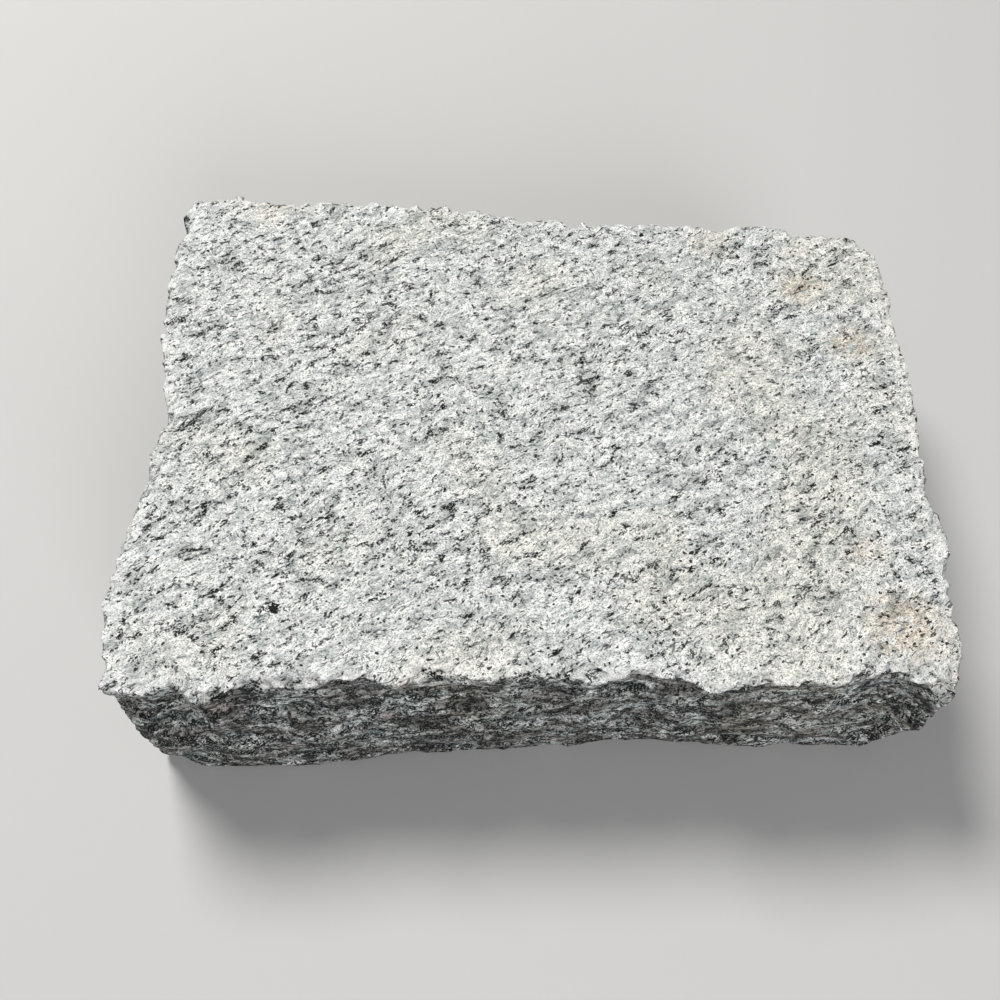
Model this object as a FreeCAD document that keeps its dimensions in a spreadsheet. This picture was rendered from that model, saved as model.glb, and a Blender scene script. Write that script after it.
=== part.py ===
import FreeCAD, Part
import os

import Sketcher

# A rough-split granite slab: one block of natural stone that lies flat.
# Millimetres, +Z up. X runs along the length and Y across the width, with the front at -Y.
# The origin is the centre of the bounding rectangle, on the plane that the slab rests on.
#
# The block is a ruled loft through four level outlines: the foot it stands on, the belly of
# the broken walls, the neck just under the top edge, and the arris, which is the top edge
# itself. The lower corners and edges are then spalled off along tilted planes.

DRIVING = {
    "slab_length": 300,
    "slab_width": 231,
    "slab_height": 80,
    "belly_height": 32,
    "neck_height": 67,
    "belly_setout": 1.0,
    "neck_setback": 2.0,
}

# The four walls, each a row of stations. A station is its place along the wall, measured from
# the middle of the slab, then how far the arris and the foot stand in from the bounding
# rectangle there. Together they go once round the slab, anticlockwise seen from above.
FRONT_WALL = (
    (-144.0, 5.5, 4.5),
    (-131.0, 4.0, 1.0),
    (-120.0, 7.0, 0.5),
    (-112.0, 1.0, 0.0),
    (-100.0, 5.5, 0.5),
    (-74.0, 8.0, 2.0),
    (-58.0, 9.5, 5.0),
    (-46.0, 7.0, 6.5),
    (-31.0, 10.0, 6.5),
    (-10.0, 8.5, 7.5),
    (9.0, 10.0, 8.5),
    (20.0, 8.0, 8.5),
    (34.5, 11.5, 10.0),
    (48.0, 8.5, 10.5),
    (58.0, 4.5, 9.0),
    (67.0, 7.0, 10.0),
    (100.0, 7.5, 8.5),
    (121.0, 11.0, 9.5),
    (132.0, 7.0, 8.0),
    (139.5, 1.0, 3.0),
)
RIGHT_WALL = (
    (-107.0, 6.5, 6.5),
    (-80.0, 2.5, 5.0),
    (-55.0, 1.5, 4.0),
    (-15.0, 3.0, 1.5),
    (12.0, 0.5, 3.5),
    (38.0, 1.0, 6.0),
    (66.0, 0.0, 5.0),
    (82.0, 3.0, 8.0),
)
BACK_WALL = (
    (141.0, 25.0, 27.0),
    (131.0, 22.5, 20.0),
    (104.0, 18.5, 14.0),
    (36.0, 16.0, 12.0),
    (0.0, 13.5, 14.5),
    (-37.0, 6.0, 9.5),
    (-83.0, 3.5, 8.0),
    (-107.0, 4.5, 5.0),
    (-126.0, 0.0, 5.5),
    (-145.0, 2.5, 7.0),
)
LEFT_WALL = (
    (104.0, 0.0, 5.0),
    (60.0, 1.0, 6.5),
    (38.0, 2.5, 4.0),
    (-3.0, 9.5, 5.5),
    (-15.0, 7.0, 4.0),
    (-38.0, 5.5, 2.5),
    (-64.0, 1.5, 4.0),
    (-80.0, 1.0, 6.0),
    (-100.0, 5.5, 5.0),
)

# The level outlines from the floor up: the object's name, the sheet's cell for its height, the
# share of the way from the arris down to the foot, and what is added to every inset.
LEVELS = (
    ("FootOutline", "", 1.0, ""),
    ("BellyOutline", "belly_height", 0.6, "- Driving.belly_setout"),
    ("NeckOutline", "neck_height", 0.16, "+ Driving.neck_setback"),
    ("ArrisOutline", "slab_height", 0.0, ""),
)

# Spalls off the lower corners and edges. Each is a break plane: a point near the floor given as
# shares of half the length and half the width, the plane's outward direction as an azimuth from
# +X and an elevation in degrees, and its depth inside that point.
SPALLS = (
    ("FrontRightUndercut", 0.930, -0.974, -75.0, -20.0, 3.5),
    ("FrontLeftSpall", -0.960, -0.961, -125.0, -42.0, 2.5),
    ("RightSpall", 0.985, -0.200, -8.0, -52.0, 5.0),
    ("BackRightSpall", 0.930, 0.790, 48.0, -24.0, 6.0),
    ("BackSpall", 0.100, 0.890, 84.0, -50.0, 6.0),
    ("BackLeftSpall", -0.960, 0.940, 132.0, -34.0, 9.0),
    ("LeftSpall", -0.970, 0.250, 176.0, -48.0, 4.0),
)


def make_sheet(doc):
    """Put the driving dimensions in a spreadsheet, one named cell each."""
    sheet = doc.addObject("Spreadsheet::Sheet", "Driving")
    for row, (name, value) in enumerate(DRIVING.items(), start=1):
        sheet.set("A%d" % row, name)
        sheet.set("B%d" % row, str(value))
        sheet.setAlias("B%d" % row, name)
    doc.recompute()
    return sheet


def origin_plane(body, role):
    """Return the body's own origin plane that has this role."""
    return next(plane for plane in body.Origin.OriginFeatures if plane.Role == role)


def station_expressions(share, change):
    """Yield the X and Y expressions of every station of the outline at one level."""
    walls = (
        ("front", FRONT_WALL),
        ("right", RIGHT_WALL),
        ("back", BACK_WALL),
        ("left", LEFT_WALL),
    )
    for wall, stations in walls:
        for along, arris_inset, foot_inset in stations:
            inset = arris_inset + share * (foot_inset - arris_inset)
            inset_text = "max(0; %.3f %s)" % (inset, change)
            along_x = "Driving.slab_length * %.5f" % (along / DRIVING["slab_length"])
            along_y = "Driving.slab_width * %.5f" % (along / DRIVING["slab_width"])
            if wall == "front":
                yield along_x, "%s - Driving.slab_width / 2" % inset_text
            elif wall == "right":
                yield "Driving.slab_length / 2 - %s" % inset_text, along_y
            elif wall == "back":
                yield along_x, "Driving.slab_width / 2 - %s" % inset_text
            else:
                yield "%s - Driving.slab_length / 2" % inset_text, along_y


def draw_polygon(sketch, expressions):
    """Draw a closed polygon whose corners are bound to pairs of X and Y expressions."""
    corners = []
    for x_text, y_text in expressions:
        x_value = sketch.evalExpression(x_text)
        y_value = sketch.evalExpression(y_text)
        corners.append(FreeCAD.Vector(float(x_value), float(y_value), 0))
    count = len(corners)
    lines = [Part.LineSegment(corners[i], corners[(i + 1) % count]) for i in range(count)]
    sketch.addGeometry(lines, False)

    constraints = []
    for i, corner in enumerate(corners):
        constraints.append(Sketcher.Constraint("Coincident", i, 2, (i + 1) % count, 1))
        constraints.append(Sketcher.Constraint("DistanceX", -1, 1, i, 1, corner.x))
        constraints.append(Sketcher.Constraint("DistanceY", -1, 1, i, 1, corner.y))
    sketch.addConstraint(constraints)
    for i, (x_text, y_text) in enumerate(expressions):
        sketch.setExpression("Constraints[%d]" % (3 * i + 1), x_text)
        sketch.setExpression("Constraints[%d]" % (3 * i + 2), y_text)


def attach_to_floor(body, sketch):
    """Attach a sketch to the body's own floor plane, which it can then be offset from."""
    sketch.AttachmentSupport = (origin_plane(body, "XY_Plane"), "")
    sketch.MapMode = "FlatFace"


def add_level_outline(body, name, height_cell, share, change):
    """Draw the slab's outline at one level, lifted to that level's height."""
    sketch = body.newObject("Sketcher::SketchObject", name)
    attach_to_floor(body, sketch)
    if height_cell:
        sketch.setExpression("AttachmentOffset.Base.z", "Driving.%s" % height_cell)
    draw_polygon(sketch, list(station_expressions(share, change)))
    return sketch


def add_block(doc, body):
    """Loft the unbroken block through its level outlines."""
    outlines = [add_level_outline(body, *level) for level in LEVELS]
    doc.recompute()
    block = body.newObject("PartDesign::AdditiveLoft", "SplitBlock")
    block.Profile = outlines[0]
    block.Sections = outlines[1:]
    block.Ruled = True
    doc.recompute()


def add_spall(doc, body, name, x_share, y_share, azimuth, elevation, depth):
    """Break off everything outside one tilted plane."""
    outward = FreeCAD.Rotation(azimuth, -elevation, 0).multVec(FreeCAD.Vector(1, 0, 0))
    sketch = body.newObject("Sketcher::SketchObject", name + "Plane")
    attach_to_floor(body, sketch)
    sketch.AttachmentOffset = FreeCAD.Placement(
        FreeCAD.Vector(0, 0, 0), FreeCAD.Rotation(FreeCAD.Vector(0, 0, 1), -outward)
    )
    near_point = {
        "x": "Driving.slab_length / 2 * %.3f" % x_share,
        "y": "Driving.slab_width / 2 * %.3f" % y_share,
        "z": "0",
    }
    for axis, expression in near_point.items():
        inward_shift = -depth * getattr(outward, axis)
        sketch.setExpression("AttachmentOffset.Base." + axis, "%s + %.3f" % (expression, inward_shift))

    half = "Driving.slab_length / 2"
    sides = (("-" + half, "-" + half), (half, "-" + half), (half, half), ("-" + half, half))
    draw_polygon(sketch, sides)
    doc.recompute()

    volume_before = body.Shape.Volume
    spall = body.newObject("PartDesign::Pocket", name)
    spall.Profile = sketch
    spall.Type = "ThroughAll"
    doc.recompute()
    if body.Shape.Volume >= volume_before:
        raise RuntimeError("%s cuts nothing" % name)


def make_granite_slab(doc):
    """Build the one piece of the object: the split block with its spalls."""
    body = doc.addObject("PartDesign::Body", "GraniteSlab")
    body.Label = "granite_slab"
    body.Placement = FreeCAD.Placement()
    add_block(doc, body)
    for spall in SPALLS:
        add_spall(doc, body, *spall)
    return body


def check_document(doc, pieces):
    """Stop if any object of the document failed, or a piece is not one valid solid."""
    for item in doc.Objects:
        if "Invalid" in item.State or "Error" in item.State:
            raise RuntimeError("%s failed: %s" % (item.Name, item.State))
    for piece in pieces:
        shape = piece.Shape
        if shape.isNull() or not shape.isValid() or len(shape.Solids) != 1:
            raise RuntimeError("%s is not one valid solid" % piece.Label)


def export_pieces(pieces):
    """Write each piece to its own file and print its size."""
    os.makedirs("parts", exist_ok=True)
    for piece in pieces:
        box = piece.Shape.BoundBox
        print("%s: %.1f x %.1f x %.1f mm" % (piece.Label, box.XLength, box.YLength, box.ZLength))
        print("  volume %.0f mm3, centre (%.2f, %.2f)" % (piece.Shape.Volume, box.Center.x, box.Center.y))
        piece.Shape.exportStep("parts/%s.step" % piece.Label)


def main():
    doc = FreeCAD.newDocument("granite_slab")
    make_sheet(doc)
    pieces = [make_granite_slab(doc)]
    doc.recompute()
    check_document(doc, pieces)
    export_pieces(pieces)


main()
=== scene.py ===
import math

import bpy
import numpy as np
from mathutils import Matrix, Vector
from mathutils.kdtree import KDTree


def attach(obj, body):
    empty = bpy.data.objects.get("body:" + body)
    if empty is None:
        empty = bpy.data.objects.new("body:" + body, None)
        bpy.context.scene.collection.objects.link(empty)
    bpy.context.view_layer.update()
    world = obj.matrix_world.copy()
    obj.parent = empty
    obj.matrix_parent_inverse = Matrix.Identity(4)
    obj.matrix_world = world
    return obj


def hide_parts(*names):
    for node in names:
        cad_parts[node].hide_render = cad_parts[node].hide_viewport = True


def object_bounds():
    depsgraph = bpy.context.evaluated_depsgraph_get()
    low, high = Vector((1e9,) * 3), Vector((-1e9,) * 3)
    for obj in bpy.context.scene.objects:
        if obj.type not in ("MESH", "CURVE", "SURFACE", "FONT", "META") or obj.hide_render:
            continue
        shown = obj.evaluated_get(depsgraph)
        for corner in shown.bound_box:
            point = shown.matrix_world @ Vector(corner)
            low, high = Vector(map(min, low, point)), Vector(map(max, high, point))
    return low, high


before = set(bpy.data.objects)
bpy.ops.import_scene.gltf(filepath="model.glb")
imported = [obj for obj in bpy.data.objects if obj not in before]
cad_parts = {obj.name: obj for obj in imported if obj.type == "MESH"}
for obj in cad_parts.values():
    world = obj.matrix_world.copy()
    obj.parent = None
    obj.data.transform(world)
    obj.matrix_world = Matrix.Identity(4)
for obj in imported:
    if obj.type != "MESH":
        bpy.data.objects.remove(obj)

# A rough-split granite slab. The CAD block is remeshed finely, then broken up by shallow scoops,
# chipped along its top edge, the arris, and given a granular skin. Shapes are worked out in
# millimetres, in the CAD's frame, and handed to Blender in metres.

MM = 0.001
SEED = 7
NODE = "granite_slab"
CAD_LOW, CAD_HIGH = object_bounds()
LOW = np.array(CAD_LOW) / MM
HIGH = np.array(CAD_HIGH) / MM
HEIGHT = ((CAD_HIGH - CAD_LOW) / MM)[2]
FRONT = LOW[1]
RIGHT = HIGH[0]

# The mesh's spacing and budget, and how far the walls are set out before scoops bring them back.
VOXEL = 1.0
MAX_TRIANGLES = 196_000
WALL_ALLOWANCE = 0.9

# How the surface is broken up, in this order: the part of it, how many scoops, the least and most
# radius, the least and most depth, how far their directions stray, and the stretch of their shape.
EVEN = np.array((1.0, 1.0, 1.0))
LAYERED = np.array((1.0, 1.0, 1.7))
SCOOPS = (
    ("belly", 60, (45, 90), (0.5, 1.3), 0.05, LAYERED),
    ("below_arris", 150, (28, 70), (0.4, 1.2), 0.08, LAYERED),
    ("wall", 420, (9, 22), (0.3, 0.8), 0.15, LAYERED),
    ("top", 60, (90, 220), (0.2, 0.8), 0.02, EVEN),
    ("top", 420, (14, 40), (0.15, 0.5), 0.06, EVEN),
    ("underside", 80, (60, 200), (0.3, 1.4), 0.03, EVEN),
    ("foot_edge", 150, (7, 26), (0.8, 2.8), 0.25, LAYERED),
    ("arris", 40, (12, 30), (0.1, 0.25), 0.25, EVEN),
    ("arris", 900, (2.5, 8), (0.1, 0.35), 0.3, EVEN),
)
# Single chips: the place, the way out of the stone, the radius and the depth. In turn they are
# two at the right-hand tip, the cut-back foot below them, and two bites out of the front arris.
CHIPS = (
    ((RIGHT - 15, FRONT + 3.5, HEIGHT - 3), (0.35, -0.7, 0.62), 12, 3.0),
    ((RIGHT - 9, FRONT + 11.5, HEIGHT - 1), (0.7, -0.3, 0.65), 9, 1.5),
    ((RIGHT - 10.5, FRONT + 2.8, 17), (0.3, -0.94, -0.15), 160, 5.0),
    ((35.5, FRONT + 10, HEIGHT - 2), (0.1, -0.8, 0.6), 12, 1.0),
    ((-112, FRONT + 1.5, HEIGHT - 2), (0.0, -0.85, 0.5), 20, 2.0),
)
# Tongues of the arris that are drawn out forwards: the place, the reach and the length.
TONGUES = (
    ((59.5, FRONT + 6.5, HEIGHT - 2), 9, 2.8),
)
# Layers of grainy relief: its height, the size of its grains, and the seed of its noise.
WALL_RELIEF = (
    (0.50, (9, 9, 4.5), 11),
    (0.40, (4.6, 4.6, 2.8), 12),
    (0.30, (2.4, 2.4, 1.8), 13),
)
TOP_RELIEF = (
    (0.30, 7.0, 21),
    (0.30, 3.6, 22),
    (0.24, 2.0, 23),
)
UNDERSIDE_RELIEF = (
    (0.5, 14.0, 31),
)
ARRIS_RELIEF = (
    (0.7, 4.2, 41),
    (0.8, 2.1, 42),
)
CRUMBLE_REACH = 5.0
BRUISE_REACH = 5.0

# What bounds the parts of the surface: levels above the floor or depths below the top, and tilts,
# which are 1 on a face that looks straight up, 0 on an upright one and -1 on one that looks down.
BELLY_LEVELS = (20, 52)
FOOT_EDGE_TOP = 12
FOOT_EDGE_TILTS = (-0.95, -0.15)
ARRIS_DEPTH = 2.5
ARRIS_TILTS = (0.2, 0.95)
BRUISED_DEPTH = 3.5
BRUISED_TILTS = (0.1, 0.8)
CLEAR_OF_ARRIS = 9
WALL_TILTS = (-0.5, 0.5)
FLAT_TILT = 0.9

# Where the wall's tones fade in, by tilt and by depth, and where the underside's grain does. The
# wall's tones are partly painted shade: they darken the steep faces as if they were out of the
# light.
WALL_TONE_TILTS = (0.62, 0.32)
WALL_TONE_DEPTHS = (4, 10)
UNDERSIDE_GRAIN_TILTS = (-2 / 7, -1)

# How the rock lies: its streaks run at an angle across the slab, its folds are each so wide and
# so high, and its lenses are squeezed across the streaks and more so upwards.
STREAK_ANGLE = math.radians(30)
FOLDS = (
    (30.0, 3.0),
    (6.0, 0.5),
)
GRAIN_SQUEEZE = (1.0, 1.4, 1.0)
LENS_SQUEEZE = (1.0, 2.2, 1.8)
LAYER_SQUEEZE = (1.0, 1.7, 2.5)

# How large things are in the rock.
COARSE_SIZE = 2.2
FINE_SIZE = 0.75
SUGAR_SIZE = 0.65
SPECK_SIZE = 1.15
FLAKE_SIZE = 0.85
MOTTLE_SIZE = 4.5
PATCH_SIZE = 5.0
GAP_SIZE = 5.0
CLUSTER_SIZE = 6.0
STRING_SPACING = 9.0
GREY_LAYER_SIZE = 11.0
BAND_SIZE = 20.0
REGION_SIZE = 32.0
CREAM_SIZE = 45.0

# The levels of its noise between which each thing fades in.
GREY_LEVELS = (0.48, 0.62)
PATCH_LEVELS = (0.42, 0.56)
RUST_LEVELS = (0.30, 0.55)
FLAKE_LEVELS = (0.42, 0.47)
CLUSTER_LEVELS = (0.54, 0.62)
CLOT_LEVELS = (0.61, 0.66)
STRING_LEVELS = (0.020, 0.006)
GAP_LEVELS = (0.50, 0.58)
CREAM_LEVELS = (0.50, 0.72)

# Where along the slab the streaky rock gives way to the calmer, creamier right-hand end.
CALM_REACH = (0, 120)

# Mica: how much likelier its clusters are in some regions and, by the name of the Rock's node, in
# other places, then the share of the crystals that are mica outside the clusters, how much more
# there are in them and on the walls, and how dark the specks and strings are. The extra mica and
# the likelier clusters on the walls are partly painted shade: dark specks stand in for the shadows
# in the walls' pits.
CLUSTER_SHIFT = -0.075
REGION_SHARE = 0.14
CLUSTER_CAUSES = (
    ("grey", 0.04),
    ("wall", 0.10),
    ("bruise", -0.10),
    ("calm", -0.03),
)
SCATTERED_MICA = 0.045
CLUSTERED_MICA = 0.50
WALL_MICA_AND_SHADE = 0.10
SPECK_DARKNESS = 0.95
STRING_DARKNESS = 0.8
STRING_WIDENING = -0.012
GAP_CLOSING = 0.06

# How strongly the other things show.
FINE_SHARE = 0.55
HAZE_ON_TOP = 0.50
HAZE_AND_SHADE_ON_WALLS = 0.50
GREY_ON_WALLS = 0.03
FLECK_SHARE = 0.8
BRUISE_SHARE = 0.35
CREAM_AT_CALM_END = 0.12

# The relief that is finer than the mesh, as shares of its depth, and how shiny the crystals are.
COARSE_RELIEF = -0.45
FINE_RELIEF = -0.35
MICA_RELIEF = -0.25
RELIEF_DEPTH = 0.8
ROUGHNESS = (0.45, 0.85)
SPECULAR_LEVEL = 0.12

# Tones by crystal, or by the level of some noise, then the other colours.
COARSE_TONES = (
    (0.00, (0.34, 0.37, 0.38)),
    (0.22, (0.66, 0.69, 0.69)),
    (0.50, (0.84, 0.84, 0.82)),
    (0.80, (0.93, 0.93, 0.90)),
    (1.00, (0.96, 0.94, 0.90)),
)
FINE_TONES = (
    (0.00, (0.20, 0.22, 0.22)),
    (0.20, (0.58, 0.60, 0.60)),
    (0.50, (0.84, 0.85, 0.83)),
    (1.00, (0.97, 0.97, 0.95)),
)
MOTTLE_TONES = (
    (0.36, (0.66, 0.69, 0.69)),
    (0.56, (1.0, 1.0, 0.995)),
)
# Bands on the walls only: partly real banding, partly painted shade that darkens the walls.
BAND_AND_SHADE_TONES = (
    (0.42, (0.96, 0.99, 1.00)),
    (0.57, (0.535, 0.50, 0.485)),
)
# Painted shade of the sugary relief: the colour darkens between the grains' crests.
SUGAR_PAINTED_SHADE_TONES = (
    (0.37, (0.36, 0.37, 0.37)),
    (0.50, (1.0, 1.0, 1.0)),
)
HAZE_COLOUR = (0.43, 0.465, 0.465, 1)
MICA_COLOUR = (0.008, 0.009, 0.009, 1)
BRUISE_COLOUR = (0.93, 0.93, 0.915, 1)
RUST_COLOUR = (0.97, 0.85, 0.74, 1)
CREAM_COLOUR = (1.0, 0.978, 0.935, 1)
FLOOR_COLOUR = (0.42, 0.42, 0.415, 1)

# Rust-tinted patches on the top: the middle, the radius and the strength.
STAINS = (
    ((127, -88), 20, 1.0),
    ((120, -60), 12, 0.5),
    ((130, 34), 15, 0.8),
    ((114, 64), 14, 0.7),
    ((79, 89), 15, 0.5),
    ((-111, 107), 12, 0.5),
)
# Single large clots of black mica on the top: the middle and the radius.
CLOTS = (
    ((-89.4, -81.6), 2.1),
)


# ---------------------------------------------------------------------------------------------
# Repeatable noise, in numpy


def lattice_random(cell_x, cell_y, cell_z, seed):
    """A repeatable random number from 0 to 1 for every whole-number lattice point."""
    with np.errstate(over="ignore"):
        mixed = (
            cell_x.astype(np.uint32) * np.uint32(374761393)
            + cell_y.astype(np.uint32) * np.uint32(668265263)
            + cell_z.astype(np.uint32) * np.uint32(2246822519)
            + np.uint32(seed * 3266489917 % 2**32)
        )
        mixed = (mixed ^ (mixed >> np.uint32(15))) * np.uint32(2246822519)
        mixed = (mixed ^ (mixed >> np.uint32(13))) * np.uint32(3266489917)
    return (mixed ^ (mixed >> np.uint32(16))).astype(np.float64) / 2**32


def smooth_noise(points, size, seed):
    """Smooth noise from -1 to 1. Size is its scale in mm, one number or one for each axis."""
    scaled = points / size
    corner = np.floor(scaled).astype(np.int64)
    part = scaled - corner
    part = part * part * (3 - 2 * part)
    total = np.zeros(len(points))
    for step_x in (0, 1):
        for step_y in (0, 1):
            for step_z in (0, 1):
                weight = (
                    np.where(step_x, part[:, 0], 1 - part[:, 0])
                    * np.where(step_y, part[:, 1], 1 - part[:, 1])
                    * np.where(step_z, part[:, 2], 1 - part[:, 2])
                )
                total += weight * lattice_random(
                    corner[:, 0] + step_x, corner[:, 1] + step_y, corner[:, 2] + step_z, seed
                )
    return total * 2 - 1


def relief(points, layers):
    """How high the grainy relief stands at each point, as a column."""
    height = sum(amount * smooth_noise(points, size, seed) for amount, size, seed in layers)
    return height[:, None]


# ---------------------------------------------------------------------------------------------
# The mesh


def bake_modifiers(piece):
    """Replace a piece's mesh by what its modifiers make of it."""
    evaluated = piece.evaluated_get(bpy.context.evaluated_depsgraph_get())
    mesh = bpy.data.meshes.new_from_object(evaluated)
    piece.modifiers.clear()
    piece.data = mesh
    piece.data.name = piece.name


def read_points(mesh):
    points = np.empty(len(mesh.vertices) * 3)
    mesh.vertices.foreach_get("co", points)
    return points.reshape(-1, 3) / MM


def write_points(mesh, points):
    mesh.vertices.foreach_set("co", (points * MM).ravel())
    mesh.update()


def read_normals(mesh):
    normals = np.empty(len(mesh.vertices) * 3)
    mesh.vertex_normals.foreach_get("vector", normals)
    return normals.reshape(-1, 3)


def remeshed_block():
    """A fine, even mesh of the CAD block, as a new object."""
    block = bpy.data.objects.new("split_granite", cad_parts[NODE].data.copy())
    bpy.context.collection.objects.link(block)
    remesh = block.modifiers.new("even_mesh", "REMESH")
    remesh.mode = "VOXEL"
    remesh.voxel_size = VOXEL * MM
    bake_modifiers(block)
    return block


def thin_out(block):
    """Bring the mesh down to its triangle budget, keeping detail where the surface turns."""
    block.modifiers.new("triangles", "TRIANGULATE")
    thin = block.modifiers.new("thin", "DECIMATE")
    thin.ratio = MAX_TRIANGLES / (2 * len(block.data.polygons))
    bake_modifiers(block)
    write_points(block.data, np.clip(read_points(block.data), LOW, HIGH))
    block.data.shade_smooth()


# ---------------------------------------------------------------------------------------------
# The broken surface


def unit(vectors):
    return vectors / np.maximum(np.linalg.norm(vectors, axis=-1, keepdims=True), 1e-9)


def between(values, low, high):
    return (values > low) & (values < high)


def fade(values, start, end):
    """Go evenly from 0 to 1 as the values go from start to end."""
    return np.clip((values - start) / (end - start), 0, 1)


def scooped(points, place, outward, radius, depth, stretch):
    """Hollow out a shallow round scoop: push every point inside a ball on to the ball's surface.

    The ball's centre stands outside the block, so that it bites depth deep at place. Stretch
    scales each axis first, which makes the scoop longer along the axes with a small factor.
    """
    outward = unit(outward / stretch)
    centre = place * stretch + outward * (radius - depth)
    offset = points * stretch - centre
    distance = np.linalg.norm(offset, axis=1)
    inside = distance < radius
    pushed = centre + offset[inside] * (radius / distance[inside])[:, None]
    points[inside] = pushed / stretch
    return points


def scatter_scoops(points, normals, where, count, radii, depths, stray, stretch, rng):
    """Scoop hollows at random points of the part of the surface that where picks out.

    Each scoop only tries the points that lie near it along X, which saves most of the time.
    """
    along_x = np.argsort(points[:, 0])
    sorted_x = points[along_x, 0]
    chosen = rng.choice(np.flatnonzero(where), count)
    for index in chosen:
        radius = rng.uniform(*radii)
        depth = rng.uniform(*depths)
        outward = unit(normals[index] + rng.normal(0, stray, 3))
        place = points[index].copy()
        half_width = math.sqrt(2 * radius * depth)
        reach = 1.5 * half_width + 2
        first, last = np.searchsorted(sorted_x, (place[0] - reach, place[0] + reach))
        near = along_x[first:last]
        points[near] = scooped(points[near], place, outward, radius, depth, stretch)


def parts_of_surface(points, normals):
    """Which points belong to each part of the block that SCOOPS names."""
    level = points[:, 2]
    tilt = normals[:, 2]
    wall = between(tilt, *WALL_TILTS)
    return {
        "wall": wall,
        "belly": wall & between(level, *BELLY_LEVELS),
        "below_arris": wall & (level < HEIGHT - CLEAR_OF_ARRIS),
        "top": tilt > FLAT_TILT,
        "underside": tilt < -FLAT_TILT,
        "arris": (level > HEIGHT - ARRIS_DEPTH) & between(tilt, *ARRIS_TILTS),
        "foot_edge": (level < FOOT_EDGE_TOP) & between(tilt, *FOOT_EDGE_TILTS),
    }


def draw_out_tongues(points):
    """Push the points near each tongue forwards, most at its middle."""
    for place, reach, length in TONGUES:
        nearness = np.clip(1 - (np.linalg.norm(points - place, axis=1) / reach) ** 2, 0, 1)
        points[:, 1] -= length * nearness**2


def roughen(points, normals):
    """Give the top, walls and underside their own grain, and crumble the arris."""
    tilt = normals[:, 2:]
    upward = np.clip(tilt, 0, 1) ** 2
    downward = fade(tilt, *UNDERSIDE_GRAIN_TILTS)
    grain = relief(points, WALL_RELIEF) * (1 - upward) + relief(points, TOP_RELIEF) * upward
    grain = grain * (1 - downward) + relief(points, UNDERSIDE_RELIEF) * downward
    points += normals * grain
    near_arris = fade(points[:, 2:], HEIGHT - CRUMBLE_REACH, HEIGHT)
    points += normals * (1, 1, 0) * (near_arris * relief(points, ARRIS_RELIEF))


def sculpt(block):
    """Break up the walls, top and underside, chip the edges and roughen the skin."""
    rng = np.random.default_rng(SEED)
    mesh = block.data
    points = read_points(mesh)
    normals = read_normals(mesh)
    parts = parts_of_surface(points, normals)
    points += normals * (1, 1, 0) * WALL_ALLOWANCE
    for part, count, radii, depths, stray, stretch in SCOOPS:
        scatter_scoops(points, normals, parts[part], count, radii, depths, stray, stretch, rng)
    for place, outward, radius, depth in CHIPS:
        scooped(points, np.array(place), np.array(outward), radius, depth, EVEN)
    draw_out_tongues(points)
    write_points(mesh, points)
    roughen(points, read_normals(mesh))
    write_points(mesh, points)


def mark_surface(block):
    """Store two things at each point, for the material to read.

    "bruise" is how near it is to the arris, where splitting has crushed the grains white, and
    "wall" is how much it cuts across the rock's layers: it is steep, or well below the top. The
    material also uses "wall" to paint shade, darkening these faces as if they were out of the
    light.
    """
    points = read_points(block.data)
    tilt = read_normals(block.data)[:, 2]
    below_top = HEIGHT - points[:, 2]
    on_arris = np.flatnonzero((below_top < BRUISED_DEPTH) & between(tilt, *BRUISED_TILTS))
    tree = KDTree(len(on_arris))
    for index in on_arris:
        tree.insert(points[index], index)
    tree.balance()
    distance = np.full(len(points), BRUISE_REACH)
    for index in np.flatnonzero(below_top < 2 * BRUISE_REACH):
        distance[index] = tree.find(points[index])[2]
    bruise = fade(distance, BRUISE_REACH, 0) * np.clip(tilt * 2, 0, 1)
    steep = fade(tilt, *WALL_TONE_TILTS)
    deep = fade(below_top, *WALL_TONE_DEPTHS)
    for name, values in (("bruise", bruise), ("wall", np.maximum(steep, deep))):
        attribute = block.data.attributes.new(name, "FLOAT", "POINT")
        attribute.data.foreach_set("value", values)


def make_slab():
    block = remeshed_block()
    sculpt(block)
    thin_out(block)
    mark_surface(block)
    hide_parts(NODE)
    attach(block, "root")
    block.data.materials.clear()
    block.data.materials.append(granite())


# ---------------------------------------------------------------------------------------------
# Shader nodes


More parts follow.
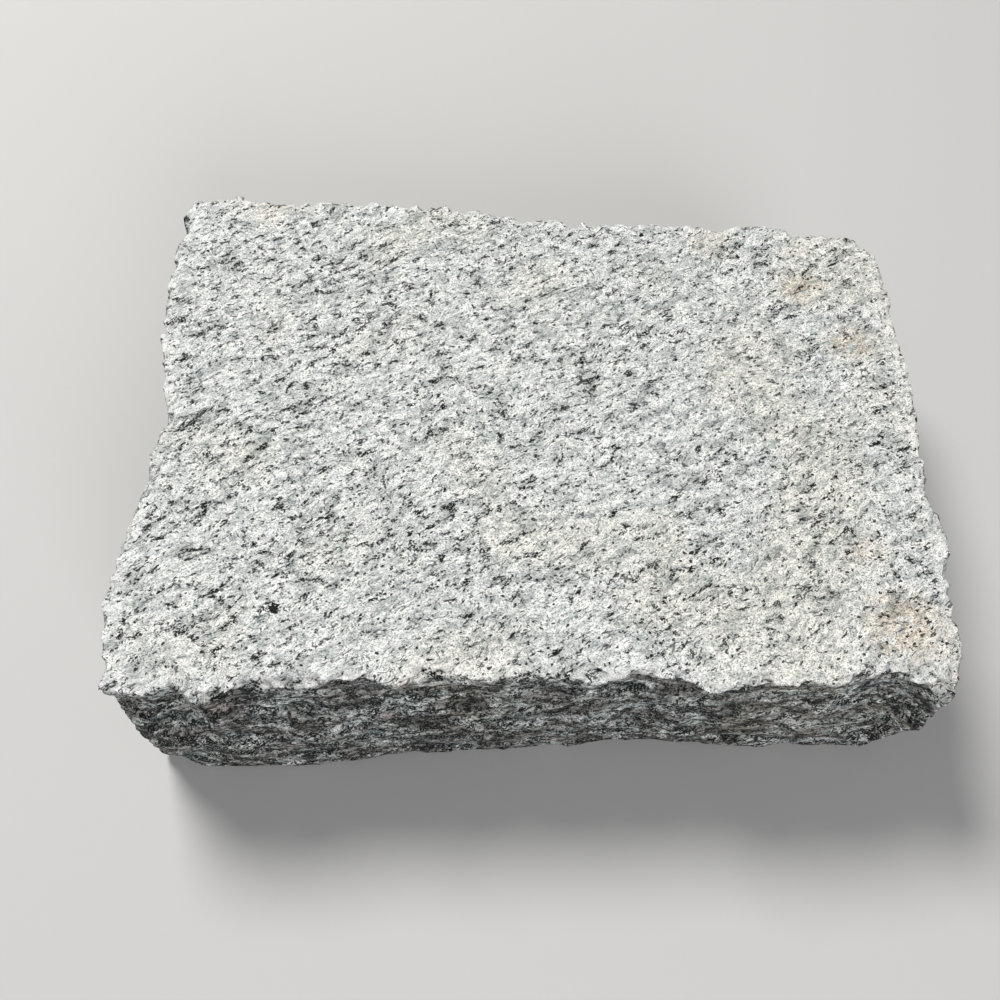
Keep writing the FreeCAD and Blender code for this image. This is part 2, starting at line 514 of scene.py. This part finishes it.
class NodeKit:
    """Short calls that add shader nodes to one material. An input is a socket or a value."""

    def __init__(self, tree):
        self.tree = tree

    def node(self, kind, inputs=(), **settings):
        made = self.tree.nodes.new("ShaderNode" + kind)
        for name, value in settings.items():
            setattr(made, name, value)
        for name, value in dict(inputs).items():
            self.feed(made.inputs[name], value)
        return made

    def feed(self, socket, value):
        if isinstance(value, bpy.types.NodeSocket):
            self.tree.links.new(value, socket)
        else:
            socket.default_value = value

    def sum(self, kind, first, second=0.0, third=0.0):
        return self.node("Math", {0: first, 1: second, 2: third}, operation=kind).outputs[0]

    def plus(self, value, share, other):
        """Add so much of another value to a value."""
        return self.sum("MULTIPLY_ADD", other, share, value)

    def vector(self, kind, first, second):
        return self.node("VectorMath", {0: first, 1: second}, operation=kind).outputs["Vector"]

    def scaled(self, vector, factor):
        inputs = {0: vector, "Scale": factor}
        return self.node("VectorMath", inputs, operation="SCALE").outputs["Vector"]

    def ramp(self, value, low, high, out_low=0.0, out_high=1.0):
        """Go smoothly from one output to another as the value goes from low to high."""
        inputs = {0: value, 1: low, 2: high, 3: out_low, 4: out_high}
        return self.node("MapRange", inputs, interpolation_type="SMOOTHSTEP").outputs[0]

    def noise(self, place, size, detail=2.0, roughness=0.5, output="Fac"):
        """Smooth noise, about 0 to 1, whose features are about this many mm across."""
        inputs = {"Vector": place, "Scale": 1 / size, "Detail": detail, "Roughness": roughness}
        return self.node("TexNoise", inputs, noise_dimensions="3D").outputs[output]

    def cells(self, place, size):
        """Crystals about this many mm across: each has a random colour, and a distance."""
        inputs = {"Vector": place, "Scale": 1 / size}
        return self.node("TexVoronoi", inputs, voronoi_dimensions="3D", feature="F1").outputs

    def blend(self, share, first, second, kind="MIX"):
        mixer = self.node("Mix", {0: share, 6: first, 7: second}, data_type="RGBA", blend_type=kind)
        return mixer.outputs[2]

    def channel(self, colour, name):
        return self.node("SeparateColor", {0: colour}).outputs[name]

    def attribute(self, name):
        return self.node("Attribute", attribute_name=name).outputs["Fac"]

    def tones(self, value, stops):
        """A colour for each value, blended between the stops."""
        made = self.node("ValToRGB", {0: value})
        elements = made.color_ramp.elements
        while len(elements) < len(stops):
            elements.new(0.5)
        for element, (position, colour) in zip(elements, stops):
            element.position = position
            element.color = (*colour, 1)
        return made.outputs["Color"]


# ---------------------------------------------------------------------------------------------
# The granite: feldspar, quartz and strings of black mica


class Rock(NodeKit):
    """The nodes that the layers of the granite share, with lengths in mm.

    Place is a place in the slab, and rock is the same with X along the streaks. What is round in
    grain, lens and layer is flattened in the slab.
    """

    def __init__(self, tree):
        super().__init__(tree)
        self.place = self.scaled(self.node("TexCoord").outputs["Object"], 1 / MM)
        self.rock = self.folded(self.place)
        self.grain = self.vector("MULTIPLY", self.rock, GRAIN_SQUEEZE)
        self.lens = self.vector("MULTIPLY", self.rock, LENS_SQUEEZE)
        self.layer = self.vector("MULTIPLY", self.rock, LAYER_SQUEEZE)

        self.coarse = self.cells(self.grain, COARSE_SIZE)
        self.fine = self.cells(self.grain, FINE_SIZE)
        self.sugar = self.noise(self.grain, SUGAR_SIZE, roughness=0.6)
        self.flakes = self.noise(self.grain, FLAKE_SIZE, roughness=0.6)
        self.patches = self.noise(self.grain, PATCH_SIZE)

        # Steep faces and those below the top, which the material also darkens as painted shade.
        self.wall = self.attribute("wall")
        along = self.node("SeparateXYZ", {"Vector": self.place}).outputs["X"]
        self.calm = self.ramp(along, *CALM_REACH)
        near_arris = self.attribute("bruise")
        self.bruise = self.sum("MULTIPLY", near_arris, self.ramp(self.patches, *PATCH_LEVELS))
        grey = self.noise(self.layer, GREY_LAYER_SIZE, detail=4.0, roughness=0.62)
        self.grey = self.ramp(self.plus(grey, GREY_ON_WALLS, self.wall), *GREY_LEVELS)

    def folded(self, place):
        """Turn a place into the rock's own frame, then wave it to and fro."""
        turn = {"Vector": place, "Angle": -STREAK_ANGLE}
        rock = self.node("VectorRotate", turn, rotation_type="Z_AXIS").outputs[0]
        for width, height in FOLDS:
            waves = self.noise(rock, width, detail=1.0, output="Color")
            waves = self.vector("SUBTRACT", waves, (0.5, 0.5, 0.5))
            rock = self.vector("ADD", rock, self.scaled(waves, height * 2))
        return rock

    def spot(self, middle):
        """How far a place is from a middle on the top."""
        inputs = {0: self.place, 1: (*middle, HEIGHT)}
        return self.node("VectorMath", inputs, operation="DISTANCE").outputs["Value"]


def crystals(kit):
    """Crystals of two sizes, each feldspar or quartz by its own random number, mottled, and with
    the shade of their sugary relief painted on.
    """
    coarse = kit.tones(kit.channel(kit.coarse["Color"], 0), COARSE_TONES)
    fine = kit.tones(kit.channel(kit.fine["Color"], 0), FINE_TONES)
    colour = kit.blend(FINE_SHARE, coarse, fine)
    mottle = kit.noise(kit.lens, MOTTLE_SIZE, detail=3.0, roughness=0.65)
    colour = kit.blend(1.0, colour, kit.tones(mottle, MOTTLE_TONES), "MULTIPLY")
    # Paint the shade of the sugary relief into the colour.
    return kit.blend(1.0, colour, kit.tones(kit.sugar, SUGAR_PAINTED_SHADE_TONES), "MULTIPLY")


def layers(kit, colour):
    """Grey layers, rich in quartz, and the broader bands and dark flecks that the walls cut. On the
    walls, the extra haze, the bands and the flecks are partly painted shade.
    """
    haze = kit.sum("MULTIPLY_ADD", kit.wall, HAZE_AND_SHADE_ON_WALLS, HAZE_ON_TOP)
    haze = kit.sum("MULTIPLY", kit.grey, haze)
    colour = kit.blend(haze, colour, HAZE_COLOUR, "MULTIPLY")
    band = kit.noise(kit.layer, BAND_SIZE)
    colour = kit.blend(kit.wall, colour, kit.tones(band, BAND_AND_SHADE_TONES), "MULTIPLY")
    flecks = kit.tones(kit.channel(kit.fine["Color"], 1), FINE_TONES)
    return kit.blend(kit.sum("MULTIPLY", kit.wall, FLECK_SHARE), colour, flecks, "MULTIPLY")


def mica_specks(kit):
    """Ragged specks and clots of mica, in clusters drawn out along the streaks."""
    cluster = kit.noise(kit.lens, CLUSTER_SIZE, detail=3.0, roughness=0.6)
    region = kit.noise(kit.rock, REGION_SIZE, detail=1.0)
    cluster = kit.plus(kit.sum("ADD", cluster, CLUSTER_SHIFT), REGION_SHARE, region)
    for name, share in CLUSTER_CAUSES:
        cluster = kit.plus(cluster, share, getattr(kit, name))

    # A crystal is mica if its own random number is below the limit.
    limit = kit.plus(SCATTERED_MICA, CLUSTERED_MICA, kit.ramp(cluster, *CLUSTER_LEVELS))
    # Extra mica on the walls: partly real, partly painted shade.
    limit = kit.plus(limit, WALL_MICA_AND_SHADE, kit.wall)
    draw = kit.channel(kit.cells(kit.grain, SPECK_SIZE)["Color"], 1)
    speck = kit.ramp(kit.sum("DIVIDE", draw, limit), 1.0, 0.8)
    ragged = kit.ramp(kit.flakes, *FLAKE_LEVELS)
    speck = kit.sum("MULTIPLY", kit.sum("MULTIPLY", speck, ragged), SPECK_DARKNESS)
    clot = kit.sum("MULTIPLY", kit.ramp(cluster, *CLOT_LEVELS), ragged)
    return kit.sum("MAXIMUM", clot, speck)


def mica_strings(kit):
    """Thin, broken strings of mica, where a smooth noise crosses its middle value."""
    ridge = kit.noise(kit.layer, STRING_SPACING, roughness=0.55)
    ridge = kit.sum("ABSOLUTE", kit.sum("SUBTRACT", ridge, 0.5))
    ridge = kit.plus(ridge, STRING_WIDENING, kit.wall)
    gaps = kit.plus(kit.noise(kit.lens, GAP_SIZE), GAP_CLOSING, kit.wall)
    string = kit.sum("MULTIPLY", kit.ramp(ridge, *STRING_LEVELS), kit.ramp(gaps, *GAP_LEVELS))
    return kit.sum("MULTIPLY", string, STRING_DARKNESS)


def mica(kit):
    """How much of each place is mica, from 0 to 1."""
    share = kit.sum("MAXIMUM", mica_specks(kit), mica_strings(kit))
    for middle, radius in CLOTS:
        ragged = kit.plus(kit.spot(middle), 4 * radius, kit.flakes)
        share = kit.sum("MAXIMUM", share, kit.ramp(ragged, 3.1 * radius, 2.8 * radius))
    return share


def tints(kit, colour):
    """A creamy cast in broad patches and at the calm end, and rust between some crystals."""
    cream = kit.plus(kit.noise(kit.rock, CREAM_SIZE, detail=1.0), CREAM_AT_CALM_END, kit.calm)
    colour = kit.blend(kit.ramp(cream, *CREAM_LEVELS), colour, CREAM_COLOUR, "MULTIPLY")
    crept_in = kit.ramp(kit.patches, *RUST_LEVELS)
    for middle, radius, strength in STAINS:
        stain = kit.ramp(kit.spot(middle), radius, 0.2 * radius)
        stain = kit.sum("MULTIPLY", kit.sum("MULTIPLY", stain, crept_in), strength)
        colour = kit.blend(stain, colour, RUST_COLOUR, "MULTIPLY")
    return colour


def fine_relief(kit, mica_share):
    """Relief finer than the mesh: rounded crystals, their sugary surface and pits of mica."""
    height = kit.plus(kit.sugar, COARSE_RELIEF, kit.coarse["Distance"])
    height = kit.plus(height, FINE_RELIEF, kit.fine["Distance"])
    height = kit.plus(height, MICA_RELIEF, mica_share)
    bump = kit.node("Bump", {"Height": height, "Distance": RELIEF_DEPTH * MM, "Strength": 1.0})
    return bump.outputs["Normal"]


def granite():
    """Foliated grey-white granite, as one material."""
    material = bpy.data.materials.new("granite")
    material.use_nodes = True
    kit = Rock(material.node_tree)
    shader = material.node_tree.nodes["Principled BSDF"]

    mica_share = mica(kit)
    colour = layers(kit, crystals(kit))
    colour = kit.blend(kit.sum("MULTIPLY", kit.bruise, BRUISE_SHARE), colour, BRUISE_COLOUR)
    colour = kit.blend(mica_share, colour, MICA_COLOUR)
    kit.feed(shader.inputs["Base Color"], tints(kit, colour))

    # Crystal faces catch the light differently from each other.
    roughness = kit.ramp(kit.channel(kit.fine["Color"], 2), 0.0, 1.0, *ROUGHNESS)
    kit.feed(shader.inputs["Roughness"], roughness)
    kit.feed(shader.inputs["Normal"], fine_relief(kit, mica_share))
    shader.inputs["Specular IOR Level"].default_value = SPECULAR_LEVEL
    return material


# ---------------------------------------------------------------------------------------------
# Stage, light and camera


def cove_profile():
    """The floor's section from its middle outwards: flat, then round a bend and up a wall."""
    flat, bend, rise = 2.6, 0.8, 2.2
    steps = 16
    profile = [(flat * share, 0.0) for share in (0.0, 0.1, 0.3, 0.6, 0.85)]
    for step in range(steps + 1):
        angle = math.radians(90) * step / steps
        profile.append((flat + bend * math.sin(angle), bend * (1 - math.cos(angle))))
    profile.append((flat + bend, bend + rise))
    return profile


def make_floor():
    """A plain pale floor that sweeps up into a wall all round, like a photographer's cove."""
    profile = cove_profile()
    around = 96
    vertices = [(0.0, 0.0, 0.0)]
    for reach, height in profile[1:]:
        for spoke in range(around):
            angle = math.tau * spoke / around
            vertices.append((reach * math.cos(angle), reach * math.sin(angle), height))
    faces = [(0, 1 + spoke, 1 + (spoke + 1) % around) for spoke in range(around)]
    for ring in range(len(profile) - 2):
        inner = 1 + ring * around
        outer = inner + around
        for spoke in range(around):
            after = (spoke + 1) % around
            faces.append((inner + spoke, outer + spoke, outer + after, inner + after))
    mesh = bpy.data.meshes.new("floor")
    mesh.from_pydata(vertices, [], faces)
    mesh.shade_smooth()
    mesh.materials.append(pale_floor())
    floor = bpy.data.objects.new("floor", mesh)
    bpy.context.collection.objects.link(floor)


def pale_floor():
    material = bpy.data.materials.new("pale_floor")
    material.use_nodes = True
    shader = material.node_tree.nodes["Principled BSDF"]
    shader.inputs["Base Color"].default_value = FLOOR_COLOUR
    shader.inputs["Roughness"].default_value = 0.8
    return material


def area_light(name, place, size, power, colour):
    """A round light that faces the middle of the slab."""
    light = bpy.data.lights.new(name, "AREA")
    light.shape = "DISK"
    light.size = size
    light.energy = power
    light.color = colour
    lamp = bpy.data.objects.new(name, light)
    bpy.context.collection.objects.link(lamp)
    lamp.location = place
    target = Vector((0, 0, HEIGHT * MM / 2))
    lamp.rotation_euler = (target - Vector(place)).to_track_quat("-Z", "Y").to_euler()


def make_light():
    """A soft key from behind on the left, as high as the afternoon sun, with a weak fill."""
    key_place = Vector((-0.10, 0.127, 0.24)).normalized() * 2.6
    area_light("key", key_place, size=0.95, power=85.5, colour=(1.0, 0.985, 0.96))
    area_light("fill", (0.6, -1.9, 1.0), size=1.2, power=36, colour=(0.99, 0.975, 0.99))
    world = bpy.data.worlds.new("studio")
    world.use_nodes = True
    background = world.node_tree.nodes["Background"]
    background.inputs["Color"].default_value = (0.93, 0.96, 1.0, 1)
    background.inputs["Strength"].default_value = 0.24
    bpy.context.scene.world = world


def make_camera():
    """Stand in front and look down on the slab, through a lens as long as the sensor is wide."""
    camera = bpy.data.objects.new("camera", bpy.data.cameras.new("camera"))
    camera.data.sensor_width = 36
    camera.data.lens = 36
    camera.data.clip_start = 0.01
    look_down = math.radians(60.5)
    camera.location = (-0.0111, -0.219, 0.3985)
    camera.rotation_euler = (math.radians(90) - look_down, 0, 0)
    bpy.context.collection.objects.link(camera)
    bpy.context.scene.camera = camera


make_slab()
make_floor()
make_light()
make_camera()
bpy.context.scene.view_settings.view_transform = "Standard"
